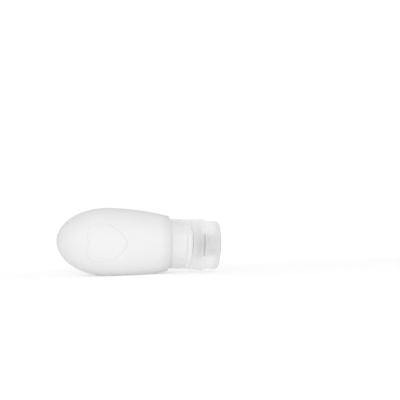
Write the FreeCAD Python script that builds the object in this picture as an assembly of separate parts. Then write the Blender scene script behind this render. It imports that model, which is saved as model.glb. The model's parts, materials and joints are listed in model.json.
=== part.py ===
import FreeCAD, Part
import math
import os

V = FreeCAD.Vector
os.makedirs("parts", exist_ok=True)

# Lengths are in millimetres, angles in degrees.
# Every piece is drawn round the bottle's own axis, which is X here. A station is the distance
# from the closed tip towards the cap. The heart faces -Y and the lid hinge is at +Y.

# Soft bottle: an elliptical dome, a long flank arc and a square shoulder that stands out past the cap
BELLY_RADIUS = 22.8
DOME_LENGTH = 35.0
BODY_LENGTH = 74.4
SHOULDER_STEP = 1.25
SHOULDER_ROUND = 1.7
CAVITY_ROUND = 1.5
WALL = 3.0
SHOULDER_WALL = 2.6
SLEEVE_WALL = 1.9

# Heart line pressed into the front of the bottle
HEART_START = 18.3
HEART_WIDTH = 26.5
HEART_LOBE_RADIUS = 7.95
HEART_SIDE_RADIUS = 19.95
HEART_LINE_WIDTH = 0.9
HEART_LINE_DEPTH = 0.4

# How the bottle lies: on a patch of the flank, this far past the widest ring, that its weight presses flat
REST_RUN = 10.9
REST_DEPTH = 0.9

# Hard neck insert
NECK_WALL = 1.6
BARB_LENGTH = 1.5
BARB_HEIGHT = 2.6
BARB_TAPER = 0.7
FLANGE_LENGTH = 3.2
FLANGE_ROUND = 0.7

# Label ring, which turns between the shoulder and the flange
RING_LENGTH = 10.2
RING_STEP = 0.45
RING_ROUND = 0.4
RING_END_GAP = 0.25
RING_CLEARANCE = 0.3

# Screw cap, from its bead inwards to the thread
CAP_GAP = 0.4
CAP_LENGTH = 8.8
CAP_RADIUS = 17.15
CAP_WALL = 1.5
CAP_ROUND = 0.8
BEAD_LENGTH = 3.4
BEAD_STEP = 0.25
DECK = 1.8
SKIRT_GAP = 1.05
INNER_SKIRT_WALL = 1.2
INNER_SKIRT_LIFT = 0.6
THREAD_ROOM = 1.15

# Nozzle and valve pocket in the cap's deck, from the orifice outwards
ORIFICE_RADIUS = 4.0
NOZZLE_WALL = 1.2
NOZZLE_HEIGHT = 2.0
VALVE_LEDGE = 1.9
POCKET_WALL = 1.2
POCKET_DEPTH = 3.2

# Thumb notch in the cap's front edge
NOTCH_CHORD = 17.2
NOTCH_SLOT = 1.5
NOTCH_DEPTH = 1.9
NOTCH_LEAD_DEPTH = 0.5

# Sealing ring, valve and valve retainer
GASKET = 1.3
GASKET_WIDTH = 2.6
GASKET_CLEARANCE = 0.3
VALVE_FLANGE = 1.1
VALVE_RISE = 1.5
VALVE_CLEARANCE = 0.5
MEMBRANE = 0.5
RETAINER = 1.5
RETAINER_WIDTH = 1.65

# Flip lid with its stopper
LID_GAP = 0.15
RIM_LENGTH = 2.0
RIM_STEP = 0.4
RIM_ROUND = 0.45
CROWN_LENGTH = 8.3
CROWN_STEP = 1.05
CROWN_ROUND = 1.6
LID_WALL = 1.5
LID_TOP = 1.6
SOCKET_STEP = 0.6
SOCKET_WALL = 1.2
STOPPER_PAD = 1.0
PLUG_LENGTH = 1.2
PLUG_CLEARANCE = 0.7

# Hinge at the back of the cap
HINGE_OFFSET = 0.75
KNUCKLE_RADIUS = 1.75
KNUCKLE_WIDTH = 6.0
EAR_WIDTH = 2.6
EAR_GAP = 0.25
HINGE_ROOM = 0.3
PIN_RADIUS = 0.8
PIN_INSET = 0.3
PIN_RUN = 0.08

# Close fits, and how near two sizes are taken as the same
SEAT = 0.05
SAME = 0.01

skirt_radius = CAP_RADIUS - BEAD_STEP
gap_radius = skirt_radius - CAP_WALL
inner_skirt_radius = gap_radius - SKIRT_GAP
thread_bore = inner_skirt_radius - INNER_SKIRT_WALL
neck_radius = thread_bore - THREAD_ROOM
bore_radius = neck_radius - NECK_WALL
barb_radius = neck_radius + BARB_HEIGHT
sleeve_radius = neck_radius + SEAT + SLEEVE_WALL
ring_bore = sleeve_radius + RING_CLEARANCE
ring_radius = CAP_RADIUS - RING_STEP
rim_radius = CAP_RADIUS - RIM_STEP
crown_radius = CAP_RADIUS - CROWN_STEP
gasket_radius = thread_bore - GASKET_CLEARANCE

nozzle_radius = ORIFICE_RADIUS + NOZZLE_WALL
pocket_radius = ORIFICE_RADIUS + VALVE_LEDGE
pocket_outer = pocket_radius + POCKET_WALL
valve_radius = pocket_radius - SEAT
socket_radius = ORIFICE_RADIUS + SOCKET_STEP
socket_outer = socket_radius + SOCKET_WALL

shoulder_radius = CAP_RADIUS + SHOULDER_STEP
flank_run = BODY_LENGTH - DOME_LENGTH
flank_drop = BELLY_RADIUS - shoulder_radius
flank_radius = (flank_run ** 2 + flank_drop ** 2) / (2 * flank_drop)

cavity_end = BODY_LENGTH - SHOULDER_WALL
barb_end = cavity_end - SEAT
barb_start = barb_end - BARB_LENGTH
ring_start = BODY_LENGTH + RING_END_GAP
ring_end = ring_start + RING_LENGTH
flange_start = ring_end + RING_END_GAP
flange_end = flange_start + FLANGE_LENGTH
cap_start = flange_end + CAP_GAP
cap_top = cap_start + CAP_LENGTH
deck_under = cap_top - DECK
bead_start = cap_top - BEAD_LENGTH
spigot_end = deck_under - GASKET - 2 * SEAT
valve_seat = deck_under - SEAT
valve_back = valve_seat - VALVE_FLANGE
retainer_top = valve_back - SEAT
nozzle_top = cap_top + NOZZLE_HEIGHT
lid_start = cap_top + LID_GAP
rim_end = lid_start + RIM_LENGTH
lid_end = rim_end + CROWN_LENGTH
lid_under = lid_end - LID_TOP
pad_start = nozzle_top + SEAT
pad_end = pad_start + STOPPER_PAD
socket_start = pad_end + SEAT
hinge_y = CAP_RADIUS + HINGE_OFFSET
ear_inner = KNUCKLE_WIDTH / 2 + EAR_GAP
ear_outer = ear_inner + EAR_WIDTH


def revolved(edges):
    """Solid made by turning a closed outline of edges about the bottle axis."""
    face = Part.Face(Part.Wire(edges))
    return face.revolve(V(0, 0, 0), V(1, 0, 0), 360)


def turned(*corners):
    """Solid of revolution from the station and radius of each corner of its section."""
    points = [V(station, 0, radius) for station, radius in corners]
    return revolved([Part.makeLine(a, b) for a, b in zip(points, points[1:] + points[:1])])


def tube(start, end, inner, outer):
    """Plain ring between two stations and two radii."""
    return turned((start, inner), (start, outer), (end, outer), (end, inner))


def disc(start, end, radius):
    """Plain round bar between two stations."""
    return Part.makeCylinder(radius, end - start, V(start, 0, 0), V(1, 0, 0))


def ball(station, radius):
    """Sphere centred on the axis."""
    return Part.makeSphere(radius, V(station, 0, 0))


def rounded(shape, radius, *rings):
    """Shape with the circular edges at the given station and radius pairs rounded."""
    chosen = []
    for edge in shape.Edges:
        if edge.Degenerated or not isinstance(edge.Curve, Part.Circle):
            continue
        for station, size in rings:
            if abs(edge.Curve.Center.x - station) < SAME and abs(edge.Curve.Radius - size) < SAME:
                chosen.append(edge)
    return shape.makeFillet(radius, chosen)


def across(bottom, top, radius):
    """Round bar along the hinge axis between two heights."""
    return Part.makeCylinder(radius, top - bottom, V(cap_top, hinge_y, bottom), V(0, 0, 1))


def web(start, end, bottom, top):
    """Block that joins a hinge eye to the wall in front of it."""
    reach = 2 * KNUCKLE_RADIUS
    return Part.makeBox(end - start, reach, top - bottom, V(start, hinge_y - reach, bottom))


def joined(first, *others):
    """One solid from several that overlap."""
    return first.fuse(list(others)).removeSplitter()


def bottle_form(inset, end):
    """The bottle's outer form, moved inwards by inset and ended square at a station."""
    middle = V(DOME_LENGTH, 0, 0)
    tip = V(inset, 0, 0)
    belly = V(DOME_LENGTH, 0, BELLY_RADIUS - inset)
    dome = Part.Arc(Part.Ellipse(tip, belly, middle), 0, math.pi / 2)
    radius = flank_radius - inset
    lean = math.asin((end - DOME_LENGTH) / radius)
    centre = V(DOME_LENGTH, 0, BELLY_RADIUS - flank_radius)
    half = centre + V(math.sin(lean / 2), 0, math.cos(lean / 2)) * radius
    edge = centre + V(math.sin(lean), 0, math.cos(lean)) * radius
    flank = Part.Arc(belly, half, edge)
    foot = V(end, 0, 0)
    return revolved([dome.toShape(), flank.toShape(), Part.makeLine(edge, foot), Part.makeLine(foot, tip)])


def heart_bar(spread):
    """Bar of heart section through the front of the bottle, its outline moved outwards by spread."""
    half = HEART_WIDTH / 2
    lobe = HEART_LOBE_RADIUS + spread
    side = HEART_SIDE_RADIUS + spread
    lobe_middle = half - HEART_LOBE_RADIUS
    side_middle = HEART_SIDE_RADIUS - half
    widest = HEART_START + HEART_LOBE_RADIUS
    half_sweep = math.acos(side_middle / side) / 2
    front = -BELLY_RADIUS
    notch = V(widest - math.sqrt(lobe ** 2 - lobe_middle ** 2), front, 0)
    tip = V(widest + math.sqrt(side ** 2 - side_middle ** 2), front, 0)
    edges = []
    for way in (1, -1):
        crest = V(widest - lobe, front, way * lobe_middle)
        flank = V(widest, front, way * (half + spread))
        lower_z = way * (side * math.cos(half_sweep) - side_middle)
        lower = V(widest + side * math.sin(half_sweep), front, lower_z)
        edges.append(Part.Arc(notch, crest, flank).toShape())
        edges.append(Part.Arc(flank, lower, tip).toShape())
    outline = Part.Wire(Part.__sortEdges__(edges))
    return Part.Face(outline).extrude(V(0, BELLY_RADIUS, 0))


def make_squeeze_bottle():
    """Silicone shell with its neck sleeve, the pressed heart line and the flattened rest patch."""
    form = bottle_form(0, BODY_LENGTH)
    skin = form.cut(bottle_form(HEART_LINE_DEPTH, BODY_LENGTH - HEART_LINE_DEPTH))
    half_line = HEART_LINE_WIDTH / 2
    heart = heart_bar(half_line).cut(heart_bar(-half_line)).common(skin)
    outer = rounded(form, SHOULDER_ROUND, (BODY_LENGTH, shoulder_radius))
    cavity = bottle_form(WALL, cavity_end)
    inner_edge = flank_radius - WALL
    drop = inner_edge - math.sqrt(inner_edge ** 2 - (cavity_end - DOME_LENGTH) ** 2)
    cavity = rounded(cavity, CAVITY_ROUND, (cavity_end, BELLY_RADIUS - WALL - drop))
    sleeve = disc(cavity_end, flange_start - SEAT, sleeve_radius)
    mouth = disc(cavity_end - SEAT, flange_start, neck_radius + SEAT)
    shell = joined(outer, sleeve).cut([cavity, mouth, heart])
    reach = 2 * BODY_LENGTH
    floor = Part.makeBox(2 * reach, 2 * reach, reach, V(-reach, -reach, -reach))
    return laid(shell).cut(floor)


def make_neck_insert():
    """Hard mouth piece: a barb inside the shoulder, the flange that shows, and the spigot for the cap."""
    body = turned(
        (barb_start, bore_radius),
        (barb_start, barb_radius - BARB_TAPER),
        (barb_end - BARB_TAPER, barb_radius),
        (barb_end, barb_radius),
        (barb_end, neck_radius),
        (flange_start, neck_radius),
        (flange_start, ring_radius),
        (flange_end, ring_radius),
        (flange_end, neck_radius),
        (spigot_end, neck_radius),
        (spigot_end, bore_radius),
    )
    return rounded(body, FLANGE_ROUND, (flange_start, ring_radius), (flange_end, ring_radius))


def make_label_ring():
    """Clear ring round the silicone sleeve."""
    ring = tube(ring_start, ring_end, ring_bore, ring_radius)
    return rounded(ring, RING_ROUND, (ring_start, ring_radius), (ring_end, ring_radius))


def make_cap_base():
    """Double-walled screw cap with nozzle, valve pocket, thumb notch and hinge ears."""
    inner_foot = cap_start + INNER_SKIRT_LIFT
    shell = turned(
        (cap_start, gap_radius),
        (cap_start, skirt_radius),
        (bead_start, skirt_radius),
        (bead_start + BEAD_STEP, CAP_RADIUS),
        (cap_top, CAP_RADIUS),
        (cap_top, ORIFICE_RADIUS),
        (deck_under, ORIFICE_RADIUS),
        (deck_under, thread_bore),
        (inner_foot, thread_bore),
        (inner_foot, inner_skirt_radius),
        (deck_under, inner_skirt_radius),
        (deck_under, gap_radius),
    )
    shell = rounded(shell, CAP_ROUND, (cap_start, skirt_radius))
    shell = rounded(shell, RIM_ROUND, (cap_top, CAP_RADIUS))
    pocket = tube(deck_under - POCKET_DEPTH, cap_top, pocket_radius, pocket_outer)
    nozzle = tube(deck_under, nozzle_top, ORIFICE_RADIUS, nozzle_radius)
    ears = []
    for bottom in (ear_inner, -ear_outer):
        ears.append(across(bottom, bottom + EAR_WIDTH, KNUCKLE_RADIUS))
        ears.append(web(cap_top - KNUCKLE_RADIUS, cap_top, bottom, bottom + EAR_WIDTH))
    body = joined(shell, pocket, nozzle, *ears)
    half_turn = math.degrees(math.asin(NOTCH_CHORD / 2 / CAP_RADIUS))
    section = [
        V(bead_start, 0, CAP_RADIUS),
        V(cap_top - NOTCH_SLOT, 0, CAP_RADIUS - NOTCH_LEAD_DEPTH),
        V(cap_top - NOTCH_SLOT, 0, CAP_RADIUS - NOTCH_DEPTH),
        V(nozzle_top, 0, CAP_RADIUS - NOTCH_DEPTH),
        V(nozzle_top, 0, CAP_RADIUS + NOTCH_DEPTH),
        V(bead_start, 0, CAP_RADIUS + NOTCH_DEPTH),
    ]
    notch = Part.Face(Part.makePolygon(section + section[:1]))
    notch = notch.revolve(V(0, 0, 0), V(1, 0, 0), 2 * half_turn)
    notch.rotate(V(0, 0, 0), V(1, 0, 0), 90 - half_turn)
    eye_room = across(-ear_inner, ear_inner, KNUCKLE_RADIUS + HINGE_ROOM)
    bores = across(-ear_outer, ear_outer, PIN_RADIUS + SEAT)
    return body.cut([notch, eye_room, bores])


def make_cap_gasket():
    """Flat sealing ring between the cap's deck and the end of the spigot."""
    return tube(deck_under - SEAT - GASKET, deck_under - SEAT, gasket_radius - GASKET_WIDTH, gasket_radius)


def make_spout_valve():
    """Soft valve: a flange in the cap's pocket and a thin dome that looks out of the nozzle."""
    crown_foot = ORIFICE_RADIUS - VALVE_CLEARANCE
    dome = (crown_foot ** 2 + VALVE_RISE ** 2) / (2 * VALVE_RISE)
    centre = valve_seat + VALVE_RISE - dome
    flange = disc(valve_back, valve_seat, valve_radius)
    crown = ball(centre, dome).common(disc(valve_back, nozzle_top, crown_foot))
    return joined(flange, crown).cut(ball(centre, dome - MEMBRANE))


def make_valve_retainer():
    """Hard ring that holds the valve up in its pocket."""
    return tube(retainer_top - RETAINER, retainer_top, valve_radius - RETAINER_WIDTH, valve_radius)


def make_flip_lid():
    """Hollow lid with a lifting rim, a socket for the stopper and the middle eye of the hinge."""
    inner = crown_radius - LID_WALL
    shell = turned(
        (lid_start, inner),
        (lid_start, rim_radius),
        (rim_end, rim_radius),
        (rim_end, crown_radius),
        (lid_end, crown_radius),
        (lid_end, 0),
        (lid_under, 0),
        (lid_under, inner),
    )
    shell = rounded(shell, CROWN_ROUND, (lid_end, crown_radius))
    shell = rounded(shell, RIM_ROUND, (lid_start, rim_radius), (rim_end, rim_radius))
    socket = tube(socket_start, lid_end - LID_TOP / 2, socket_radius, socket_outer)
    half = KNUCKLE_WIDTH / 2
    shell = shell.cut([
        across(ear_inner - EAR_GAP, ear_outer + EAR_GAP, KNUCKLE_RADIUS + HINGE_ROOM),
        across(-ear_outer - EAR_GAP, EAR_GAP - ear_inner, KNUCKLE_RADIUS + HINGE_ROOM),
    ])
    eye = across(-half, half, KNUCKLE_RADIUS)
    arm = web(lid_start, cap_top + KNUCKLE_RADIUS, -half, half)
    arm = arm.cut(disc(cap_start, lid_end, inner))
    body = joined(shell, socket, eye, arm)
    return body.cut(across(-half, half, PIN_RADIUS + PIN_RUN))


def make_lid_stopper():
    """Soft stopper: a stem in the lid's socket, a pad on the nozzle's rim and a plug inside it."""
    stem = disc(pad_start, lid_under - SEAT, socket_radius - SEAT)
    pad = disc(pad_start, pad_end, socket_outer)
    plug = disc(pad_start - PLUG_LENGTH, pad_end, ORIFICE_RADIUS - PLUG_CLEARANCE)
    return joined(stem, pad, plug)


def make_hinge_pin():
    """Steel pin through both ears and the lid's eye."""
    reach = ear_outer - PIN_INSET
    return across(-reach, reach, PIN_RADIUS)


# The bottle lies with the middle of its rest patch at the origin and the floor at Z = 0.
dip = FreeCAD.Rotation(V(0, 1, 0), math.degrees(math.asin(REST_RUN / flank_radius)))
flank_centre = V(DOME_LENGTH, 0, flank_radius - BELLY_RADIUS)
rest = FreeCAD.Placement(V(0, 0, flank_radius - REST_DEPTH) - dip.multVec(flank_centre), dip)


def laid(shape):
    """Shape moved from the bottle's own axis to the way it lies on the floor."""
    return shape.transformed(rest.toMatrix(), True)


pieces = {
    "neck_insert": make_neck_insert(),
    "label_ring": make_label_ring(),
    "cap_base": make_cap_base(),
    "cap_gasket": make_cap_gasket(),
    "spout_valve": make_spout_valve(),
    "valve_retainer": make_valve_retainer(),
    "flip_lid": make_flip_lid(),
    "lid_stopper": make_lid_stopper(),
    "hinge_pin": make_hinge_pin(),
}
pieces = {name: laid(shape) for name, shape in pieces.items()}
pieces["squeeze_bottle"] = make_squeeze_bottle()

for name, shape in pieces.items():
    if len(shape.Solids) != 1 or not shape.isValid():
        raise ValueError(name + " is not one sound solid")
    shape.Solids[0].exportStep("parts/" + name + ".step")
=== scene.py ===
import json
import math

import bmesh
import bpy
from bpy.props import FloatProperty, FloatVectorProperty, IntProperty, PointerProperty
from mathutils import Matrix, Quaternion, Vector


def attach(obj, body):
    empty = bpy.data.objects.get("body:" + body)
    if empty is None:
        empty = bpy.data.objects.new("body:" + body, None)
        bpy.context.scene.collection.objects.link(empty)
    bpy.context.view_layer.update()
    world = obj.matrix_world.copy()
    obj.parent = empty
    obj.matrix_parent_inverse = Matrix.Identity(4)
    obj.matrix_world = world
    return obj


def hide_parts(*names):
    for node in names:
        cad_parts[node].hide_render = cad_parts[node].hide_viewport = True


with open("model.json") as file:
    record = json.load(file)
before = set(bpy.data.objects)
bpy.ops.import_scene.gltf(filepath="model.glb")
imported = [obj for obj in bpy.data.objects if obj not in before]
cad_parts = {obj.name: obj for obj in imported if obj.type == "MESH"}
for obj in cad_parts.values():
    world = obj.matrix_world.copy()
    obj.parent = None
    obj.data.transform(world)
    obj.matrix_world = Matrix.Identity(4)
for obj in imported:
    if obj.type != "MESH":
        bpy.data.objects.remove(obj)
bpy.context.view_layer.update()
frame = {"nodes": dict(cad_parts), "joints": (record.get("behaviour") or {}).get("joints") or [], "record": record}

bl_info = {
    "name": "Silicone travel bottle",
    "version": (1, 0, 0),
    "blender": (4, 5, 0),
    "location": "3D View > Sidebar > Bottle",
    "description": "Soft shell, clear ring, screw cap, flip lid and stage round the packed travel bottle",
    "category": "Object",
}

MM = 0.001

# The bottle's own frame: X runs along its axis from the closed tip, the heart faces -Y, the hinge is at +Y.
BOTTLE_LENGTH = 107.95 * MM
JOINTS = {joint["name"]: joint for joint in frame["joints"]}
MOUNTS = {mount["name"]: mount for mount in frame["record"]["mounts"]}
AXIS = Vector(JOINTS["cap_turn"]["axis"]).normalized()
SIDE = Vector((0, 1, 0))
UP = AXIS.cross(SIDE)
TIP = Vector(MOUNTS["lid_end"]["pos_m"]) - AXIS * BOTTLE_LENGTH
LAID = Matrix.Translation(TIP) @ Matrix((AXIS, SIDE, UP)).transposed().to_4x4()

FULL_TURN = 2 * math.pi
QUARTER_TURN = math.pi / 2

# Distances within which points are one, or lie on the axis.
WELD = 1e-7
ON_AXIS = 1e-6

# Shading: the angle from which an edge stays sharp, and the weight of large faces.
SHARP = math.radians(32)
FLAT_FACES = 100

# Divisions of rounded corners and arcs.
ROUND_STEPS = 5
FLANK_STEPS, DOME_STEPS = 56, 64
INNER_FLANK_STEPS, INNER_DOME_STEPS = 20, 28
VALVE_STEPS, HOLLOW_STEPS = 24, 12
PIN_STEPS, PIN_END_STEPS = 40, 3
SWEEP_STEPS = 24

# The heart line: how often the skin is divided, how many line widths to each side, and the mask that is left.
HEART_CUTS = 2
HEART_REACH = 1.6
HEART_MASK = "heart_line"

# Share of its height that a thread keeps at its ends, and share of its reach over which a slit runs out.
THREAD_END = 0.06
SLIT_END = 1 / 3

# Patterns of the finishes: noise cells in a metre and reliefs in metres.
MILK_CLOUD, MILK_GRAIN, MILK_RELIEF = 55, 2600, 0.06 * MM
SEAL_CLOUD, SEAL_GRAIN, SEAL_RELIEF = 160, 3200, 0.03 * MM
WASHER_CLOUD = 140
RING_RUB, RING_RELIEF = 240, 0.03 * MM
FLOW_MARKS, FLOW_GRAIN, FLOW_RELIEF = 130, 2200, 0.04 * MM
FROST_RUB, FROST_GRAIN, FROST_RELIEF = 190, 3000, 0.04 * MM
WIRE_LINES, WIRE_RELIEF = (9000, 9000, 260), 0.01 * MM
TURNED_LINES = 900

# Noise values between which clouds and patches come up.
CLOUDS = (0.35, 0.75)
PATCHES = (0.3, 0.7)

# How strongly the materials bend light, and how far red, green and blue reach inside the soft ones.
SILICONE_IOR = 1.41
PLASTIC_IOR = 1.49
MILK_TINT = (1.0, 0.96, 0.92)
SEAL_TINT = (1.0, 0.97, 0.94)

WHITE = (1, 1, 1, 1)
SENSOR_WIDTH = 36


def length(name, description, millimetres):
    """A size in the add-on's panel, kept in metres."""
    return FloatProperty(
        name=name, description=description, default=millimetres * MM, min=0, unit="LENGTH", precision=5
    )


def places(name, description, *millimetres):
    """Several lengths in metres: places between which a finish changes, or the three parts of a point."""
    return FloatVectorProperty(
        name=name, description=description, default=[place * MM for place in millimetres],
        size=len(millimetres), unit="LENGTH", precision=5,
    )


def angle(name, description, degrees):
    """An angle in the add-on's panel, kept in radians."""
    return FloatProperty(name=name, description=description, default=math.radians(degrees), unit="ROTATION")


def share(name, description, value):
    """A plain number from 0 to 1."""
    return FloatProperty(name=name, description=description, default=value, min=0, max=1, subtype="FACTOR")


def colour(name, description, *rgb):
    """A linear colour."""
    return FloatVectorProperty(name=name, description=description, default=rgb, min=0, max=1, subtype="COLOR")


class ShellSizes(bpy.types.PropertyGroup):
    """Sizes of the soft silicone shell."""

    belly_radius: length("Belly radius", "Radius at the widest ring", 22.8)
    dome_length: length("Dome length", "From the closed tip to the widest ring", 35.0)
    body_length: length("Body length", "From the closed tip to the shoulder", 74.4)
    shoulder_radius: length("Shoulder radius", "Radius where the flank meets the shoulder", 18.4)
    shoulder_round: length("Shoulder round", "Rounding of the shoulder's edge", 1.7)
    wall: length("Wall", "Thickness of the soft wall", 3.0)
    cavity_end: length("Cavity end", "Station where the hollow ends", 71.8)
    cavity_round: length("Cavity round", "Rounding inside the shoulder", 1.5)
    sleeve_end: length("Sleeve end", "Station where the neck sleeve ends", 85.05)
    sleeve_radius: length("Sleeve radius", "Outer radius of the neck sleeve", 13.95)
    sleeve_bore: length("Sleeve bore", "Inner radius of the neck sleeve", 12.05)
    lip_round: length("Lip round", "Rounding of the sleeve's edge and root", 0.35)
    steps: IntProperty(name="Steps", description="Facets round the shell", default=192, min=32)
    heart_start: length("Heart start", "Station of the two lobes' ends", 18.3)
    heart_width: length("Heart width", "Width over both lobes", 26.5)
    lobe_radius: length("Lobe radius", "Radius of each lobe", 7.95)
    side_radius: length("Side radius", "Radius of each side below its lobe", 19.95)
    line_width: length("Line width", "Width of the pressed line at the skin", 1.15)
    line_depth: length("Line depth", "Depth of the pressed line", 0.32)
    rest_blend: length("Rest blend", "How softly the rest patch runs out into the belly", 0.40)


class NeckSizes(bpy.types.PropertyGroup):
    """Sizes of the neck insert, the label ring and the screw thread."""

    bore: length("Bore", "Radius of the mouth", 10.4)
    neck: length("Neck", "Outer radius of neck and spigot", 12.0)
    barb: length("Barb", "Radius of the barb inside the shoulder", 14.6)
    barb_start: length("Barb start", "Station of the barb's inner end", 70.25)
    barb_end: length("Barb end", "Station of the barb's step", 71.75)
    barb_taper: length("Barb taper", "Lead of the barb", 0.7)
    flange: length("Flange", "Radius of ring and flange", 16.7)
    flange_start: length("Flange start", "Station where the flange begins", 85.1)
    flange_end: length("Flange end", "Station where the flange ends", 88.3)
    flange_round: length("Flange round", "Rounding of the flange's edges", 0.35)
    spigot_end: length("Spigot end", "Station of the mouth's rim", 94.3)
    lip_round: length("Lip round", "Rounding of the mouth's rim", 0.4)
    ring_start: length("Ring start", "Station where the label ring begins", 74.65)
    ring_end: length("Ring end", "Station where the label ring ends", 84.85)
    ring_bore: length("Ring bore", "Inner radius of the label ring", 14.25)
    ring_round: length("Ring round", "Rounding of the label ring's edges", 0.25)
    steps: IntProperty(name="Steps", description="Facets round neck, ring and seals", default=256, min=32)
    pitch: length("Pitch", "Rise of the thread in one turn", 4.0)
    thread_foot: length("Thread foot", "Width of a thread ridge at its foot", 1.6)
    thread_crest: length("Thread crest", "Width of a thread ridge at its crest", 0.8)
    thread_height: length("Thread height", "Height of a thread ridge", 0.85)
    thread_sink: length("Thread sink", "How far a ridge is let into its wall", 0.05)
    spigot_thread: length("Spigot thread", "Station where the spigot's thread begins", 89.6)
    cap_thread: length("Cap thread", "Station where the cap's thread begins", 90.4)
    cap_bore: length("Cap bore", "Inner radius of the cap's threaded skirt", 13.15)
    thread_turn: angle("Thread turn", "How far each thread runs round", 290)
    thread_lead: angle("Thread lead", "Over how much of a turn a ridge fades in and out", 35)


class FittingSizes(bpy.types.PropertyGroup):
    """Sizes of the seals, the valve, the stopper and the hinge pin."""

    gasket_start: length("Gasket start", "Station of the sealing ring's neck side", 94.35)
    gasket_end: length("Gasket end", "Station of the sealing ring's cap side", 95.65)
    gasket_bore: length("Gasket bore", "Inner radius of the sealing ring", 10.25)
    gasket_radius: length("Gasket radius", "Outer radius of the sealing ring", 12.85)
    gasket_bead: length("Gasket bead", "Height of the sealing ring's bead", 0.3)
    valve_back: length("Valve back", "Station of the valve's inner face", 94.55)
    valve_seat: length("Valve seat", "Station of the valve flange's outer face", 95.65)
    valve_radius: length("Valve radius", "Radius of the valve's flange", 5.85)
    valve_foot: length("Valve foot", "Radius of the valve's dome", 3.5)
    valve_rise: length("Valve rise", "Height of the valve's dome", 1.5)
    membrane: length("Membrane", "Thickness of the valve's dome", 0.5)
    slit_reach: length("Slit reach", "Half length of each cut of the cross slit", 2.3)
    slit_width: length("Slit width", "Half width of each cut at the skin", 0.09)
    slit_depth: length("Slit depth", "Depth of each cut", 0.3)
    retainer_start: length("Retainer start", "Station of the retainer's inner face", 93.0)
    retainer_end: length("Retainer end", "Station of the retainer's outer face", 94.5)
    retainer_hole: length("Retainer hole", "Radius of the retainer's hole", 4.2)
    plug_start: length("Plug start", "Station of the stopper plug's end", 98.35)
    pad_start: length("Pad start", "Station of the stopper pad's face", 99.55)
    pad_end: length("Pad end", "Station of the stopper pad's back", 100.55)
    stem_end: length("Stem end", "Station of the stopper stem's end", 106.3)
    plug_radius: length("Plug radius", "Radius of the stopper's plug", 3.3)
    pad_radius: length("Pad radius", "Radius of the stopper's pad", 5.8)
    stem_radius: length("Stem radius", "Radius of the stopper's stem", 4.55)
    soft_round: length("Soft round", "Rounding of the soft pieces' edges", 0.3)
    pin_radius: length("Pin radius", "Radius of the hinge pin", 0.8)
    pin_reach: length("Pin reach", "Half length of the hinge pin", 5.55)
    pin_chamfer: length("Pin chamfer", "Chamfer on the hinge pin's ends", 0.25)


class Finishes(bpy.types.PropertyGroup):
    """Colours and finishes of the pieces, and where they change."""

    silicone: colour("Silicone", "Milky shell and washer", 0.90, 0.90, 0.90)
    # Deeper silicone tone: the milk's own clouds and the washer's patches, and also painted shade in the heart
    # line and towards the shoulder
    silicone_deep: colour("Silicone deep", "The same where it looks thick or is pressed", 0.80, 0.80, 0.805)
    seal: colour("Seal", "Valve and stopper", 0.78, 0.78, 0.78)
    clear: colour("Clear plastic", "Label ring", 0.975, 0.975, 0.975)
    natural: colour("Natural plastic", "Neck insert", 0.86, 0.86, 0.86)
    frosted: colour("Frosted plastic", "Cap and lid", 0.95, 0.95, 0.95)
    # Painted shade: the lid darkens towards its end, standing for its thick end wall
    frosted_deep: colour("Frosted deep", "Lid where the plastic is thickest", 0.68, 0.68, 0.68)
    # Painted shade: the thumb notch's walls and floor are darkened in colour
    groove: colour("Groove", "Shaded thumb notch of the cap", 0.56, 0.56, 0.56)
    steel: colour("Steel", "Hinge pin", 0.60, 0.60, 0.61)
    silicone_roughness: share("Silicone roughness", "Mean roughness of the shell's satin skin", 0.465)
    seal_roughness: share("Seal roughness", "Mean roughness of valve and stopper", 0.50)
    washer_roughness: share("Washer roughness", "Mean roughness of the washer", 0.41)
    clear_roughness: share("Clear roughness", "Mean roughness of the label ring", 0.10)
    natural_roughness: share("Natural roughness", "Mean roughness of the neck insert", 0.22)
    frosted_roughness: share("Frosted roughness", "Mean roughness of cap and lid", 0.565)
    steel_roughness: share("Steel roughness", "Mean roughness of the hinge pin", 0.33)
    silicone_gloss: share("Silicone gloss", "Strength of the shell's reflections", 0.42)
    silicone_scatter: share("Silicone scatter", "How much of the light scatters inside the shell", 0.30)
    silicone_depth: length("Silicone depth", "How far light scatters inside the shell", 2.5)
    seal_scatter: share("Seal scatter", "How much of the light scatters inside valve and stopper", 0.20)
    seal_depth: length("Seal depth", "How far light scatters inside valve and stopper", 1.5)
    clear_share: share("Clear share", "How much of the light passes through the label ring", 0.91)
    natural_share: share("Natural share", "How much of the light passes through neck insert and washer", 0.30)
    frosted_share: share("Frosted share", "How much of the light passes through cap and lid", 0.76)
    face_share: share("Face share", "How much of the light each inner face of a clear piece passes", 0.990)
    soft_edge: share("Soft edge", "Pale bloom towards the edges of the clear pieces", 1.0)
    edge_spread: share("Edge spread", "How far that bloom spreads in from the edges", 0.56)
    # Painted shade: the pressed heart line is darkened in colour, on top of the shade that its dip gives
    heart_tint: share("Heart tint", "How far the pressed line takes on the deep colour", 0.35)
    cloud_tint: share("Cloud tint", "How far clouds in the milk take on the deep colour", 0.12)
    # Painted shade: the shell darkens towards the shoulder's rounded edge, where the wall turns solid
    shoulder_tint: share("Shoulder tint", "How far the shoulder takes on the deep colour", 0.95)
    shoulder: places("Shoulder", "Stations between which its tint comes and goes", 66.0, 74.3, 74.4, 74.6)
    seam: places("Seam", "Half width of the mould's line at its crest and at its foot", 0.05, 0.22)
    # Painted shade: stations over which the lid darkens towards its end
    crown: places("Crown", "Stations between which the lid comes to look thick", 101.5, 107.0)
    # Painted shade in the thumb notch: where the darker colour lies
    notch: places("Notch", "Stations between which the groove comes and goes", 96.0, 96.6, 97.35, 97.45)
    notch_floor: places("Notch floor", "Depths, from front to back, between which it goes", -12.5, -11.5)
    notch_skin: places("Notch skin", "Radii between which it goes", 16.5, 16.6)
    notch_ends: places("Notch ends", "Distances from its middle between which it goes", 5.8, 8.5)


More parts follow.
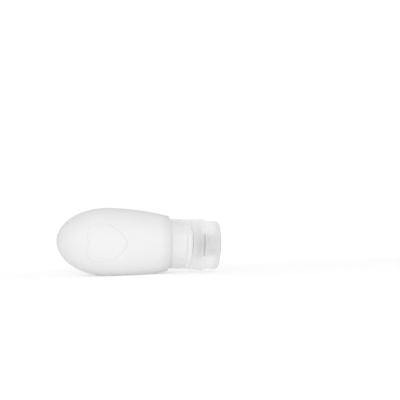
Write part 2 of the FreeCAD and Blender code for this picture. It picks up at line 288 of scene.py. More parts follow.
class StageSettings(bpy.types.PropertyGroup):
    """Camera, light and floor."""

    lens: FloatProperty(name="Lens", description="Focal length in millimetres", default=100, unit="CAMERA")
    distance: length("Distance", "From the camera to the middle of the bottle", 744)
    yaw: angle("Yaw", "How far the camera stands towards the closed end", 6.5)
    elevation: angle("Elevation", "How far the camera looks down", 2.5)
    roll: angle("Roll", "How far the camera is rolled", -1.7)
    spot_x: share("Spot across", "Where the bottle's middle stands across the picture", 0.3444)
    spot_y: share("Spot down", "Where the bottle's middle stands down the picture", 0.607)
    key_power: FloatProperty(name="Key power", description="Power of the softbox", default=4.15, unit="POWER")
    key_size: length("Key size", "Width of the softbox", 700)
    key_place: places("Key place", "Where the softbox stands", -120, -1000, 160)
    key_aim: places("Key aim", "The point that the softbox faces", 0, 0, 20)
    ambient: share("Ambient", "Even light from the room", 0.66)
    paper: share("Paper", "How pale the floor is to the light", 0.84)
    paper_light: share("Paper light", "Light that the backlit floor gives", 0.14)
    paper_glow: share("Paper glow", "White that the floor adds for the eye", 0.26)
    back_glow: share("Back glow", "White that the paper adds on top of that behind the bottle", 0.10)
    back_start: places("Back start", "Depths, from front to back, between which that comes", 20, 200)
    paper_shade: share("Paper shade", "How much of a shadow the floor shows", 1.0)
    paper_reach: length("Paper reach", "Half width of the floor", 2000)
    sweep: length("Sweep", "Radius of the paper's swept-up back", 800)
    back_height: length("Back height", "How far the paper rises above its sweep", 2000)
    clear_faces: IntProperty(
        name="Clear faces", description="How many clear faces a ray may cross", default=32, min=1
    )


class Outline:
    """Section of a turned piece: a chain in the half plane over the axis, drawn by stations and radii."""

    def __init__(self, station, radius, rounding=0):
        self.bm = bmesh.new()
        self.start = self.last = self.bm.verts.new((station, 0, radius))
        self.rounded = [(self.start, rounding)] if rounding else []

    def to(self, station, radius, rounding=0):
        """Straight line to the next corner, which may be rounded."""
        corner = self.bm.verts.new((station, 0, radius))
        self.bm.edges.new((self.last, corner))
        self.last = corner
        if rounding:
            self.rounded.append((corner, rounding))
        return self

    def arc(self, station, radius, sweep, steps, stretch=1):
        """Arc round a centre from the last point, stretched along the axis about that centre."""
        drawn = set(self.bm.verts)
        swept = bmesh.ops.spin(
            self.bm, geom=[self.last], cent=(station, 0, radius), axis=(0, 1, 0), angle=sweep, steps=steps
        )
        self.last = swept["geom_last"][0]
        added = [vert for vert in self.bm.verts if vert not in drawn]
        away = Matrix.Translation((-station, 0, 0))
        bmesh.ops.scale(self.bm, vec=(stretch, 1, 1), space=away, verts=added)
        return self

    def back(self):
        """Goes on from the first point, the other way round."""
        self.last = self.start
        return self

    def close(self):
        """Joins the last point to the first."""
        self.bm.edges.new((self.last, self.start))
        return self

    def turned(self, steps):
        """The chain turned about the bottle's axis, as a closed skin that faces outwards."""
        for vert in self.bm.verts:
            if abs(vert.co.z) < ON_AXIS:
                vert.co.z = 0
        for corner, size in self.rounded:
            bmesh.ops.bevel(
                self.bm, geom=[corner], offset=size, offset_type="OFFSET", segments=ROUND_STEPS,
                profile=0.5, affect="VERTICES", material=-1,
            )
        bmesh.ops.spin(
            self.bm, geom=self.bm.verts[:] + self.bm.edges[:], cent=(0, 0, 0), axis=(1, 0, 0),
            angle=FULL_TURN, steps=steps, use_merge=True,
        )
        bmesh.ops.remove_doubles(self.bm, verts=self.bm.verts, dist=WELD)
        bmesh.ops.recalc_face_normals(self.bm, faces=self.bm.faces)
        return self.bm


def hoop(start, end, bore, radius, rounding):
    """Section of a plain ring between two stations, with rounded edges."""
    outline = Outline(start, bore, rounding)
    outline.to(start, radius, rounding).to(end, radius, rounding).to(end, bore, rounding)
    return outline.close()


def laid(bm):
    """Moves a mesh from the bottle's own axis to the way the bottle lies."""
    bmesh.ops.transform(bm, matrix=LAID, verts=bm.verts)
    return bm


def piece(bm, name, body, slot, material, *nodes):
    """Makes a piece from a laid mesh, lets it ride on its body and stand for its solids, and shades it."""
    bm.normal_update()
    for face in bm.faces:
        face.smooth = True
    for edge in bm.edges:
        edge.smooth = edge.calc_face_angle(0) < SHARP
    mesh = bpy.data.meshes.new(name)
    bm.to_mesh(mesh)
    bm.free()
    mesh.materials.append(material)
    made = bpy.data.objects.new(name, mesh)
    bpy.context.scene.collection.objects.link(made)
    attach(made, body)
    if nodes:
        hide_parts(*nodes)
    weighted = made.modifiers.new("flat_faces", "WEIGHTED_NORMAL")
    weighted.weight = FLAT_FACES
    weighted.keep_sharp = True


def dress(node, material):
    """Gives a solid of the frame its finish."""
    made = frame["nodes"][node]
    made.data.materials.clear()
    made.data.materials.append(material)


class Tone:
    """An output of a shader node that reads like a number in an expression."""

    def __init__(self, tree, socket=None):
        self.tree = tree
        self.socket = socket

    def node(self, kind, settings, inputs, output=0):
        """Adds a node: its settings first, then the values or links of its sockets."""
        made = self.tree.nodes.new(kind)
        for name, value in settings.items():
            setattr(made, name, value)
        for name, value in inputs.items():
            if isinstance(value, Tone):
                self.tree.links.new(value.socket, made.inputs[name])
            else:
                made.inputs[name].default_value = value
        return Tone(self.tree, made.outputs[output] if made.outputs else None)

    def math(self, operation, first, second=0.0):
        """Adds a Math node for two values."""
        return self.node("ShaderNodeMath", {"operation": operation}, {0: first, 1: second})

    def __add__(self, other):
        return self.math("ADD", self, other)

    __radd__ = __add__

    def __sub__(self, other):
        return self.math("SUBTRACT", self, other)

    def __rsub__(self, other):
        return self.math("SUBTRACT", other, self)

    def __mul__(self, other):
        return self.math("MULTIPLY", self, other)

    __rmul__ = __mul__

    def __abs__(self):
        return self.math("ABSOLUTE", self)

    def either(self, other):
        """The larger of two values."""
        return self.math("MAXIMUM", self, other)

    def fade(self, low, high):
        """0 below low, 1 above high and smooth between."""
        inputs = {0: self, 1: low, 2: high}
        return self.node("ShaderNodeMapRange", {"interpolation_type": "SMOOTHSTEP"}, inputs)

    def band(self, start, full, last, end):
        """1 from full to last, and smooth from start and to end."""
        return self.fade(start, full) * (1 - self.fade(last, end))

    def blend(self, first, second):
        """Mix of two colours by this value."""
        first, second = (side if isinstance(side, Tone) else (*side, 1) for side in (first, second))
        return self.node("ShaderNodeMix", {"data_type": "RGBA"}, {0: self, 6: first, 7: second}, "Result")

    def worn(self, colour, kept):
        """A colour that goes down to a share of itself where this value is high."""
        return self.blend(colour, [kept * part for part in colour])

    def between(self, first, second):
        """Mix of two shaders by this value."""
        return self.node("ShaderNodeMixShader", {}, {0: self, 1: first, 2: second})

    def ray(self, kind):
        """1 for rays of one kind."""
        return self.node("ShaderNodeLightPath", {}, {}, kind)

    def noise(self, scale, detail=2):
        """Soft noise at this point."""
        return self.node("ShaderNodeTexNoise", {}, {"Vector": self, "Scale": scale, "Detail": detail}, "Fac")

    def lines(self):
        """Fine turned lines at this station."""
        inputs = {"W": self, "Scale": TURNED_LINES}
        return self.node("ShaderNodeTexNoise", {"noise_dimensions": "1D"}, inputs, "Fac")

    def along(self, direction):
        """How far this point lies along a direction."""
        inputs = {0: self, 1: tuple(direction)}
        return self.node("ShaderNodeVectorMath", {"operation": "DOT_PRODUCT"}, inputs, "Value")

    def bump(self, distance):
        """Normal from this height, where 1 stands for the distance."""
        return self.node("ShaderNodeBump", {}, {"Height": self, "Distance": distance})


def swing(mean, *patterns):
    """A value that patterns move up and down about its mean, each over a range of its own."""
    value = mean - sum(reach for _, reach in patterns) / 2
    for pattern, reach in patterns:
        value = value + pattern * reach
    return value


def finish(name):
    """A new material with its shader, and the point on the piece that its patterns read."""
    material = bpy.data.materials.new(name)
    material.use_nodes = True
    tree = material.node_tree
    shader = tree.nodes["Principled BSDF"]
    point = Tone(tree).node("ShaderNodeTexCoord", {}, {}, "Object")
    return material, shader, point


def feed(shader, **sockets):
    """Sets or links the sockets of a shader."""
    for name, value in sockets.items():
        socket = shader.inputs[name.replace("_", " ")]
        if isinstance(value, Tone):
            value.tree.links.new(value.socket, socket)
        else:
            socket.default_value = value


def see_through(material, shader, look):
    """Lets plain light straight through a clear piece, and all light that is already inside it."""
    tree = material.node_tree
    tone = Tone(tree, shader.outputs[0])
    passing = tone.node("ShaderNodeBsdfTransparent", {}, {"Color": (*[look.face_share] * 3, 1)})
    for kind in ("Is Shadow Ray", "Is Diffuse Ray", "Is Transmission Ray"):
        tone = tone.ray(kind).between(tone, passing)
    tree.links.new(tone.socket, tree.nodes["Material Output"].inputs["Surface"])


def satin_milk(look):
    """Satin silicone: cloudy milk, a fine moulded grain and the faint line where the mould closes."""
    material, shader, point = finish("satin_milk")
    cloud = point.noise(MILK_CLOUD, 3)
    grain = point.noise(MILK_GRAIN)
    pressed = point.node("ShaderNodeAttribute", {"attribute_name": HEART_MASK}, {}, "Fac")
    seam = 1 - abs(point.along(SIDE)).fade(*look.seam)
    # Painted shade mask: rises over the flank to the shoulder and ends before the sleeve
    shoulder = (point.along(AXIS) - TIP.dot(AXIS)).band(*look.shoulder)
    # Painted shade in the pressed heart line and towards the shoulder; the clouds are the milk's own tone
    depth = pressed * look.heart_tint + cloud.fade(*CLOUDS) * look.cloud_tint + shoulder * look.shoulder_tint
    feed(
        shader,
        Base_Color=depth.blend(look.silicone, look.silicone_deep),
        Roughness=swing(look.silicone_roughness, (cloud, 0.08), (grain, 0.05)),
        Normal=(grain * 0.35 + seam * 0.8).bump(MILK_RELIEF),
        IOR=SILICONE_IOR,
        Subsurface_Weight=look.silicone_scatter,
        Subsurface_Radius=MILK_TINT,
        Subsurface_Scale=look.silicone_depth,
        Specular_IOR_Level=look.silicone_gloss,
    )
    return material


def seal_rubber(look):
    """Softer, slightly greyer silicone for the seals."""
    material, shader, point = finish("seal_rubber")
    cloud = point.noise(SEAL_CLOUD)
    grain = point.noise(SEAL_GRAIN)
    feed(
        shader,
        Base_Color=cloud.worn(look.seal, 0.94),
        Roughness=swing(look.seal_roughness, (grain, 0.08)),
        Normal=grain.bump(SEAL_RELIEF),
        IOR=SILICONE_IOR,
        Subsurface_Weight=look.seal_scatter,
        Subsurface_Radius=SEAL_TINT,
        Subsurface_Scale=look.seal_depth,
    )
    return material


def clear_rubber(look):
    """Undyed silicone that lets light through, for the washer under the cap's deck."""
    material, shader, point = finish("clear_rubber")
    cloud = point.noise(WASHER_CLOUD, 3)
    grain = point.noise(SEAL_GRAIN)
    feed(
        shader,
        Base_Color=cloud.fade(*PATCHES).blend(look.silicone, look.silicone_deep),
        Roughness=swing(look.washer_roughness, (grain, 0.10)),
        Normal=grain.bump(SEAL_RELIEF),
        IOR=SILICONE_IOR,
        Transmission_Weight=look.natural_share,
    )
    see_through(material, shader, look)
    return material


def clear_moulding(look):
    """Clear moulded plastic with faint turned lines and a rubbed, uneven gloss."""
    material, shader, point = finish("clear_moulding")
    rubbed = point.noise(RING_RUB, 3)
    drawn = point.along(AXIS).lines()
    feed(
        shader,
        Base_Color=rubbed.worn(look.clear, 0.985),
        Roughness=swing(look.clear_roughness, (rubbed, 0.08)),
        Normal=(drawn * 0.5 + rubbed * 0.5).bump(RING_RELIEF),
        IOR=PLASTIC_IOR,
        Transmission_Weight=look.clear_share,
        Sheen_Weight=look.soft_edge,
        Sheen_Roughness=look.edge_spread,
    )
    see_through(material, shader, look)
    return material


def natural_moulding(look):
    """Undyed, slightly milky plastic with flow marks from the mould and a soft gloss."""
    material, shader, point = finish("natural_moulding")
    flow = point.noise(FLOW_MARKS, 4)
    grain = point.noise(FLOW_GRAIN)
    feed(
        shader,
        Base_Color=flow.fade(*PATCHES).worn(look.natural, 0.97),
        Roughness=swing(look.natural_roughness, (flow, 0.10)),
        Normal=(flow * 0.6 + grain * 0.2).bump(FLOW_RELIEF),
        IOR=PLASTIC_IOR,
        Transmission_Weight=look.natural_share,
        Sheen_Weight=look.soft_edge,
        Sheen_Roughness=look.edge_spread,
    )
    see_through(material, shader, look)
    return material


def frosted_moulding(look):
    """Lightly frosted plastic: turned lines round the cap, a fine etched grain and rubbed patches."""
    material, shader, point = finish("frosted_moulding")
    rubbed = point.noise(FROST_RUB, 3)
    grain = point.noise(FROST_GRAIN)
    station, front, side = (point.along(way) - TIP.dot(way) for way in (AXIS, SIDE, UP))
    drawn = station.lines()
    worn = (drawn.fade(*PATCHES) * 0.7 + rubbed * 0.3).worn(look.frosted, 0.95)
    # Painted shade: darker towards the lid's end
    thick = station.fade(*look.crown).blend(worn, look.frosted_deep)
    # Painted shade: the thumb notch's walls and floor take a darker colour
    beyond_skin = (front * front + side * side).fade(*[radius ** 2 for radius in look.notch_skin])
    notch = station.band(*look.notch) * (1 - front.fade(*look.notch_floor))
    notch = notch * (1 - beyond_skin) * (1 - abs(side).fade(*look.notch_ends))
    feed(
        shader,
        Base_Color=notch.blend(thick, look.groove),
        Roughness=swing(look.frosted_roughness, (rubbed, 0.08), (grain, 0.05)),
        Normal=(drawn * 0.6 + grain * 0.4).bump(FROST_RELIEF),
        IOR=PLASTIC_IOR,
        Transmission_Weight=look.frosted_share,
        Sheen_Weight=look.soft_edge,
        Sheen_Roughness=look.edge_spread,
    )
    see_through(material, shader, look)
    return material


def drawn_wire(look):
    """Drawn wire: fine lines along the pin."""
    material, shader, point = finish("drawn_wire")
    lines = point.node("ShaderNodeMapping", {}, {"Vector": point, "Scale": WIRE_LINES}).noise(1, 3)
    feed(
        shader,
        Base_Color=lines.worn(look.steel, 0.8),
        Roughness=swing(look.steel_roughness, (lines, 0.18)),
        Normal=lines.bump(WIRE_RELIEF),
        Metallic=1.0,
    )
    return material


def material_for(context, maker):
    """The material of a maker function, made once."""
    return bpy.data.materials.get(maker.__name__) or maker(context.scene.bottle_finishes)


def heart_gap(sizes, point):
    """Distance from a point of the front to the middle of the pressed heart line."""
    half = sizes.heart_width / 2
    widest = sizes.heart_start + sizes.lobe_radius
    run, height = point.x - widest, abs(point.z)
    if run < 0:
        return abs(math.hypot(run, height - half + sizes.lobe_radius) - sizes.lobe_radius)
    return abs(math.hypot(run, height + sizes.side_radius - half) - sizes.side_radius)


def press_heart(bm, sizes):
    """Refines the skin along the heart and presses the line in."""
    reach = HEART_REACH * sizes.line_width

    def near(vert):
        return vert.co.y < 0 and vert.normal.y < 0 and heart_gap(sizes, vert.co) < reach

    for _ in range(HEART_CUTS):
        bm.normal_update()
        close = {vert for vert in bm.verts if near(vert)}
        edges = [edge for edge in bm.edges if close.issuperset(edge.verts)]
        bmesh.ops.subdivide_edges(bm, edges=edges, cuts=1, use_grid_fill=True)
    bm.normal_update()
    line = bm.verts.layers.float.new(HEART_MASK)
    presses = []
    for vert in bm.verts:
        if vert.co.y < 0 and vert.normal.y < 0:
            away = heart_gap(sizes, vert.co) / (sizes.line_width / 2)
            if away < 1:
                vert[line] = 0.5 + 0.5 * math.cos(math.pi * away)
                presses.append((vert, vert.normal * (-sizes.line_depth * vert[line])))
    for vert, press in presses:
        vert.co += press


def rest_on_table(bm, sizes):
    """Flattens the skin that would dip below the table, with a soft run-out into the belly."""
    for vert in bm.verts:
        if vert.co.z < sizes.wall / 2:
            vert.co.z = (vert.co.z + math.hypot(vert.co.z, sizes.rest_blend)) / 2


class BOTTLE_OT_shell(bpy.types.Operator):
    """Soft silicone shell with its neck sleeve, pressed heart line and flattened rest patch"""

    bl_idname = "bottle.shell"
    bl_label = "Soft shell"

    def execute(self, context):
        size = context.scene.bottle_shell
        run = size.body_length - size.dome_length
        drop = size.belly_radius - size.shoulder_radius
        flank = (run ** 2 + drop ** 2) / (2 * drop)
        centre = size.belly_radius - flank
        inner_flank = flank - size.wall
        inner_run = size.cavity_end - size.dome_length
        inner_edge = centre + math.sqrt(inner_flank ** 2 - inner_run ** 2)
        inner_belly = size.belly_radius - size.wall
        stretch = size.dome_length / size.belly_radius
        inner_stretch = (size.dome_length - size.wall) / inner_belly
        outline = Outline(size.sleeve_end, size.sleeve_radius, size.lip_round)
        outline.to(size.body_length, size.sleeve_radius, size.lip_round)
        outline.to(size.body_length, size.shoulder_radius, size.shoulder_round)
        outline.arc(size.dome_length, centre, -math.asin(run / flank), FLANK_STEPS)
        outline.arc(size.dome_length, 0, -QUARTER_TURN, DOME_STEPS, stretch)
        outline.back().to(size.sleeve_end, size.sleeve_bore, size.lip_round)
        outline.to(size.cavity_end, size.sleeve_bore, size.lip_round)
        outline.to(size.cavity_end, inner_edge, size.cavity_round)
        outline.arc(size.dome_length, centre, -math.asin(inner_run / inner_flank), INNER_FLANK_STEPS)
        outline.arc(size.dome_length, 0, -QUARTER_TURN, INNER_DOME_STEPS, inner_stretch)
        bm = outline.turned(size.steps)
        press_heart(bm, size)
        rest_on_table(laid(bm), size)
        silicone = material_for(context, satin_milk)
        piece(bm, "soft_shell", "bottle", "milky_silicone", silicone, "squeeze_bottle")
        return {"FINISHED"}


def thread_ridge(size, start, foot, crest):
    """Helical ridge of a thread, from the radius of its foot to that of its crest."""
    bm = bmesh.new()
    corners = [
        (start - size.thread_foot / 2, foot),
        (start - size.thread_crest / 2, crest),
        (start + size.thread_crest / 2, crest),
        (start + size.thread_foot / 2, foot),
    ]
    section = bm.faces.new([bm.verts.new((station, 0, radius)) for station, radius in corners])
    steps = round(size.steps * size.thread_turn / FULL_TURN)
    rise = size.pitch * size.thread_turn / FULL_TURN / steps
    bmesh.ops.spin(
        bm, geom=[section, *section.edges, *section.verts], cent=(0, 0, 0), axis=(1, 0, 0),
        dvec=(rise, 0, 0), angle=size.thread_turn, steps=steps,
    )
    bmesh.ops.remove_doubles(bm, verts=bm.verts, dist=WELD)
    for vert in bm.verts:
        across = Vector((0, vert.co.y, vert.co.z))
        done = math.atan2(-vert.co.y, vert.co.z) % FULL_TURN
        lead = min(done, size.thread_turn - done) / size.thread_lead
        if lead < 1 and abs(across.length - foot) > WELD:
            faded = foot + (across.length - foot) * (THREAD_END + (1 - THREAD_END) * max(lead, 0))
            vert.co.yz = across.yz * (faded / across.length)
    bmesh.ops.recalc_face_normals(bm, faces=bm.faces)
    return bm


class BOTTLE_OT_neck(bpy.types.Operator):
    """Hard mouth piece with its barb, flange and threaded spigot"""

    bl_idname = "bottle.neck"
    bl_label = "Neck insert"

    def execute(self, context):
        size = context.scene.bottle_neck
        outline = Outline(size.barb_start, size.bore, size.lip_round / 2)
        outline.to(size.barb_start, size.barb - size.barb_taper, size.lip_round / 2)
        outline.to(size.barb_end - size.barb_taper, size.barb, size.lip_round / 2)
        outline.to(size.barb_end, size.barb)
        outline.to(size.barb_end, size.neck)
        outline.to(size.flange_start, size.neck)
        outline.to(size.flange_start, size.flange, size.flange_round)
        outline.to(size.flange_end, size.flange, size.flange_round)
        outline.to(size.flange_end, size.neck, size.lip_round / 2)
        outline.to(size.spigot_end, size.neck, size.lip_round)
        outline.to(size.spigot_end, size.bore, size.lip_round)
        plastic = material_for(context, natural_moulding)
        insert = laid(outline.close().turned(size.steps))
        piece(insert, "mouth_piece", "bottle", "clear_plastic", plastic, "neck_insert")
        foot = size.neck - size.thread_sink
        ridge = laid(thread_ridge(size, size.spigot_thread, foot, size.neck + size.thread_height))
        piece(ridge, "spigot_thread", "bottle", "clear_plastic", plastic)
        return {"FINISHED"}


class BOTTLE_OT_ring(bpy.types.Operator):
    """Clear label ring that turns on the neck sleeve"""

    bl_idname = "bottle.ring"
    bl_label = "Label ring"

    def execute(self, context):
        size = context.scene.bottle_neck
        outline = hoop(size.ring_start, size.ring_end, size.ring_bore, size.flange, size.ring_round)
        ring = laid(outline.turned(size.steps))
        plastic = material_for(context, clear_moulding)
        piece(ring, "clear_ring", "label_ring", "clear_plastic", plastic, "label_ring")
        return {"FINISHED"}


class BOTTLE_OT_cap(bpy.types.Operator):
    """Screw cap: the frosted double wall of the frame and the thread inside it"""

    bl_idname = "bottle.cap"
    bl_label = "Screw cap"

    def execute(self, context):
        size = context.scene.bottle_neck
        plastic = material_for(context, frosted_moulding)
        dress("cap_base", plastic)
        foot = size.cap_bore + size.thread_sink
        ridge = laid(thread_ridge(size, size.cap_thread, foot, size.cap_bore - size.thread_height))
        piece(ridge, "cap_thread", "screw_cap", "frosted_plastic", plastic)
        return {"FINISHED"}


class BOTTLE_OT_seals(bpy.types.Operator):
    """Sealing ring, spout valve with its cross slit, and the ring that holds it"""

    bl_idname = "bottle.seals"
    bl_label = "Seals and valve"

    def execute(self, context):
        size = context.scene.bottle_fittings
        steps = context.scene.bottle_neck.steps
        rubber = material_for(context, seal_rubber)
        plastic = material_for(context, frosted_moulding)
        middle = (size.gasket_bore + size.gasket_radius) / 2
        face = size.gasket_end - size.gasket_bead
        ring = Outline(size.gasket_start, size.gasket_bore, size.soft_round)
        ring.to(size.gasket_start, size.gasket_radius, size.soft_round)
        ring.to(face, size.gasket_radius, size.soft_round)
        ring.to(face, middle + 2 * size.gasket_bead)
        ring.to(size.gasket_end, middle + size.gasket_bead, size.gasket_bead / 2)
        ring.to(size.gasket_end, middle - size.gasket_bead, size.gasket_bead / 2)
        ring.to(face, middle - 2 * size.gasket_bead)
        ring.to(face, size.gasket_bore, size.soft_round)
        washer = laid(ring.close().turned(steps))
        clear = material_for(context, clear_rubber)
        piece(washer, "sealing_washer", "sealing_ring", "seal_silicone", clear, "cap_gasket")
        self.valve(size, steps, rubber)
        outline = hoop(
            size.retainer_start, size.retainer_end, size.retainer_hole, size.valve_radius, size.soft_round
        )
        retainer = laid(outline.turned(steps))
        piece(retainer, "valve_hoop", "screw_cap", "frosted_plastic", plastic, "valve_retainer")
        return {"FINISHED"}

    def valve(self, size, steps, rubber):
        """Flange and thin dome, cut crosswise."""
        dome = (size.valve_foot ** 2 + size.valve_rise ** 2) / (2 * size.valve_rise)
        centre = size.valve_seat + size.valve_rise - dome
        hollow = dome - size.membrane
        sweep = math.asin(size.valve_foot / dome)
        mouth = math.sqrt(hollow ** 2 - (size.valve_back - centre) ** 2)
        hollow_sweep = math.asin(mouth / hollow)
        outline = Outline(size.valve_back, size.valve_radius, size.soft_round)
        outline.to(size.valve_seat, size.valve_radius, size.soft_round)
        outline.to(size.valve_seat, size.valve_foot)
        outline.arc(centre, 0, sweep, VALVE_STEPS)
        outline.back().to(size.valve_back, mouth)
        outline.arc(centre, 0, hollow_sweep, HOLLOW_STEPS)
        bm = outline.turned(steps)
        for normal in ((0, 1, 0), (0, 0, 1)):
            for offset in (-size.slit_width, 0, size.slit_width):
                bmesh.ops.bisect_plane(
                    bm, geom=bm.verts[:] + bm.edges[:] + bm.faces[:],
                    plane_co=Vector(normal) * offset, plane_no=normal, dist=WELD,
                )
        for vert in bm.verts:
            across, high = sorted((abs(vert.co.y), abs(vert.co.z)))
            if across < size.slit_width / 2 and high < size.slit_reach and vert.co.x > size.valve_seat + WELD:
                vert.co.x -= size.slit_depth * min(1, (1 - high / size.slit_reach) / SLIT_END)
        bmesh.ops.recalc_face_normals(bm, faces=bm.faces)
        piece(laid(bm), "slit_valve", "screw_cap", "seal_silicone", rubber, "spout_valve")


class BOTTLE_OT_lid(bpy.types.Operator):
    """Flip lid of the frame and the soft stopper inside it"""

    bl_idname = "bottle.lid"
    bl_label = "Flip lid"

    def execute(self, context):
        size = context.scene.bottle_fittings
        dress("flip_lid", material_for(context, frosted_moulding))
        outline = Outline(size.plug_start, 0)
        outline.to(size.plug_start, size.plug_radius, size.soft_round)
        outline.to(size.pad_start, size.plug_radius)
        outline.to(size.pad_start, size.pad_radius, size.soft_round)
        outline.to(size.pad_end, size.pad_radius, size.soft_round)
        outline.to(size.pad_end, size.stem_radius)
        outline.to(size.stem_end, size.stem_radius, size.soft_round)
        outline.to(size.stem_end, 0)
        stopper = laid(outline.turned(context.scene.bottle_neck.steps))
        rubber = material_for(context, seal_rubber)
        piece(stopper, "nozzle_stopper", "lid", "seal_silicone", rubber, "lid_stopper")
        return {"FINISHED"}


class BOTTLE_OT_pin(bpy.types.Operator):
    """Steel hinge pin with chamfered ends"""

    bl_idname = "bottle.pin"
    bl_label = "Hinge pin"

    def execute(self, context):
        size = context.scene.bottle_fittings
        bm = bmesh.new()
        bmesh.ops.create_cone(
            bm, cap_ends=True, segments=PIN_STEPS, radius1=size.pin_radius, radius2=size.pin_radius,
            depth=2 * size.pin_reach,
        )
        rims = [edge for edge in bm.edges if edge.calc_face_angle(0) > SHARP]
        bmesh.ops.bevel(
            bm, geom=rims, offset=size.pin_chamfer, offset_type="OFFSET", segments=PIN_END_STEPS, profile=0.5,
            affect="EDGES", material=-1,
        )
        hinge = JOINTS["lid_flip"]
        place = Matrix.Translation(hinge["pos_m"]) @ LAID.to_3x3().to_4x4()
        bmesh.ops.transform(bm, matrix=place, verts=bm.verts)
        piece(bm, "steel_pin", "screw_cap", "pin_steel", material_for(context, drawn_wire), "hinge_pin")
        return {"FINISHED"}


def mirrored(tone):
    """1 for rays that reach a surface by way of gloss or clear plastic."""
    return tone.ray("Is Glossy Ray").either(tone.ray("Is Transmission Ray"))


def white_paper(stage):
    """Pale seamless paper that is white to the eye and still takes shadows."""
    material = bpy.data.materials.new("white_paper")
    material.use_nodes = True
    material.node_tree.nodes.clear()
    tone = Tone(material.node_tree)
    plain, shaded = (
        tone.node("ShaderNodeBsdfDiffuse", {}, {"Color": (grey, grey, grey, 1)})
        for grey in (stage.paper, stage.paper_shade)
    )
    light, white = (
        tone.node("ShaderNodeEmission", {}, {"Color": WHITE, "Strength": strength})
        for strength in (stage.paper_light, 1.0)
    )
    far = tone.node("ShaderNodeTexCoord", {}, {}, "Object").along(SIDE).fade(*stage.back_start)
    near_glow, far_glow = [stage.paper_glow] * 3, [stage.paper_glow + stage.back_glow] * 3
    glow = tone.node("ShaderNodeEmission", {}, {"Color": far.blend(near_glow, far_glow)})
    lighting = tone.node("ShaderNodeAddShader", {}, {0: plain, 1: light})
    shown = tone.node("ShaderNodeAddShader", {}, {0: shaded, 1: glow})
    mixed = tone.ray("Is Camera Ray").between(mirrored(tone).between(lighting, white), shown)
    tone.node("ShaderNodeOutputMaterial", {}, {"Surface": mixed})
    return material


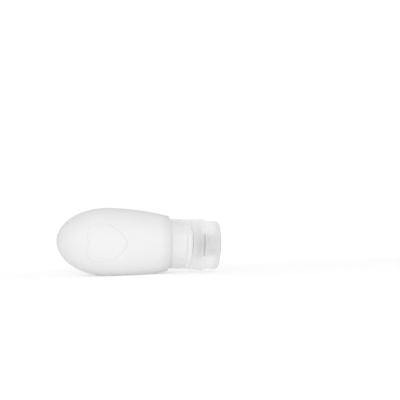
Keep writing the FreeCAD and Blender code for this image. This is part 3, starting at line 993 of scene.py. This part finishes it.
class BOTTLE_OT_stage(bpy.types.Operator):
    """Seamless paper, soft light and the camera"""

    bl_idname = "bottle.stage"
    bl_label = "Stage"

    def execute(self, context):
        stage = context.scene.bottle_stage
        self.paper(context, stage)
        self.light(context, stage)
        self.camera(context, stage)
        context.scene.view_settings.view_transform = "Standard"
        context.scene.cycles.transparent_max_bounces = stage.clear_faces
        return {"FINISHED"}

    def paper(self, context, stage):
        """Floor with a swept-up back."""
        bm = bmesh.new()
        bmesh.ops.create_grid(bm, x_segments=1, y_segments=1, size=stage.paper_reach)
        far = max(bm.edges, key=lambda edge: sum(vert.co.y for vert in edge.verts))
        swept = bmesh.ops.spin(
            bm, geom=[far, *far.verts], cent=(0, stage.paper_reach, stage.sweep), axis=(1, 0, 0),
            angle=QUARTER_TURN, steps=SWEEP_STEPS,
        )
        raised = bmesh.ops.extrude_edge_only(
            bm, edges=[part for part in swept["geom_last"] if isinstance(part, bmesh.types.BMEdge)]
        )
        verts = [part for part in raised["geom"] if isinstance(part, bmesh.types.BMVert)]
        bmesh.ops.translate(bm, verts=verts, vec=(0, 0, stage.back_height))
        for face in bm.faces:
            face.smooth = True
        mesh = bpy.data.meshes.new("seamless_paper")
        bm.to_mesh(mesh)
        bm.free()
        mesh.materials.append(white_paper(stage))
        floor = bpy.data.objects.new("seamless_paper", mesh)
        context.scene.collection.objects.link(floor)

    def light(self, context, stage):
        """One softbox by the camera and an even room."""
        world = bpy.data.worlds.new("even_room")
        world.use_nodes = True
        world.node_tree.nodes.clear()
        tone = Tone(world.node_tree)
        room, white = (
            tone.node("ShaderNodeBackground", {}, {"Color": WHITE, "Strength": strength})
            for strength in (stage.ambient, 1.0)
        )
        mixed = mirrored(tone).either(tone.ray("Is Camera Ray")).between(room, white)
        tone.node("ShaderNodeOutputWorld", {}, {"Surface": mixed})
        context.scene.world = world
        lamp = bpy.data.lights.new("softbox", "AREA")
        lamp.shape = "DISK"
        lamp.size = stage.key_size
        lamp.energy = stage.key_power
        softbox = bpy.data.objects.new("softbox", lamp)
        softbox.visible_glossy = softbox.visible_transmission = False
        place, aim = Vector(stage.key_place), Vector(stage.key_aim)
        softbox.location = place
        softbox.rotation_euler = (aim - place).to_track_quat("-Z", "Y").to_euler()
        context.scene.collection.objects.link(softbox)

    def camera(self, context, stage):
        """Long lens at the photograph's angle, rolled a little, with the bottle on its spot."""
        data = bpy.data.cameras.new("camera")
        data.lens = stage.lens
        data.sensor_width = SENSOR_WIDTH
        camera = bpy.data.objects.new("camera", data)
        middle = TIP + AXIS * (BOTTLE_LENGTH / 2)
        level = math.cos(stage.elevation)
        back = Vector((-math.sin(stage.yaw) * level, -math.cos(stage.yaw) * level, math.sin(stage.elevation)))
        camera.location = middle + back * stage.distance
        span = data.sensor_width / data.lens
        ray = Vector(((stage.spot_x - 0.5) * span, (0.5 - stage.spot_y) * span, -1)).normalized()
        aim = (-back).to_track_quat("-Z", "Y") @ Quaternion((0, 0, 1), stage.roll)
        aim = aim @ Vector((0, 0, -1)).rotation_difference(ray).inverted()
        camera.rotation_mode = "QUATERNION"
        camera.rotation_quaternion = aim
        context.scene.collection.objects.link(camera)
        context.scene.camera = camera


class BOTTLE_PT_panel(bpy.types.Panel):
    """Lists the bottle's pieces and its stage"""

    bl_label = "Travel bottle"
    bl_idname = "BOTTLE_PT_panel"
    bl_space_type = "VIEW_3D"
    bl_region_type = "UI"
    bl_category = "Bottle"

    def draw(self, context):
        for operator in OPERATORS:
            self.layout.operator(operator.bl_idname)
        for name in GROUPS:
            group = getattr(context.scene, name)
            box = self.layout.box()
            for field in group.__annotations__:
                box.prop(group, field)


GROUPS = {
    "bottle_shell": ShellSizes,
    "bottle_neck": NeckSizes,
    "bottle_fittings": FittingSizes,
    "bottle_finishes": Finishes,
    "bottle_stage": StageSettings,
}
OPERATORS = (
    BOTTLE_OT_shell,
    BOTTLE_OT_neck,
    BOTTLE_OT_ring,
    BOTTLE_OT_cap,
    BOTTLE_OT_seals,
    BOTTLE_OT_lid,
    BOTTLE_OT_pin,
    BOTTLE_OT_stage,
)


def register():
    for made in (*GROUPS.values(), *OPERATORS, BOTTLE_PT_panel):
        bpy.utils.register_class(made)
    for name, group in GROUPS.items():
        setattr(bpy.types.Scene, name, PointerProperty(type=group))


def unregister():
    for name in GROUPS:
        delattr(bpy.types.Scene, name)
    for made in (BOTTLE_PT_panel, *OPERATORS, *GROUPS.values()):
        bpy.utils.unregister_class(made)


def main():
    register()
    bpy.ops.bottle.shell()
    bpy.ops.bottle.neck()
    bpy.ops.bottle.ring()
    bpy.ops.bottle.cap()
    bpy.ops.bottle.seals()
    bpy.ops.bottle.lid()
    bpy.ops.bottle.pin()
    bpy.ops.bottle.stage()


if __name__ == "__main__":
    main()
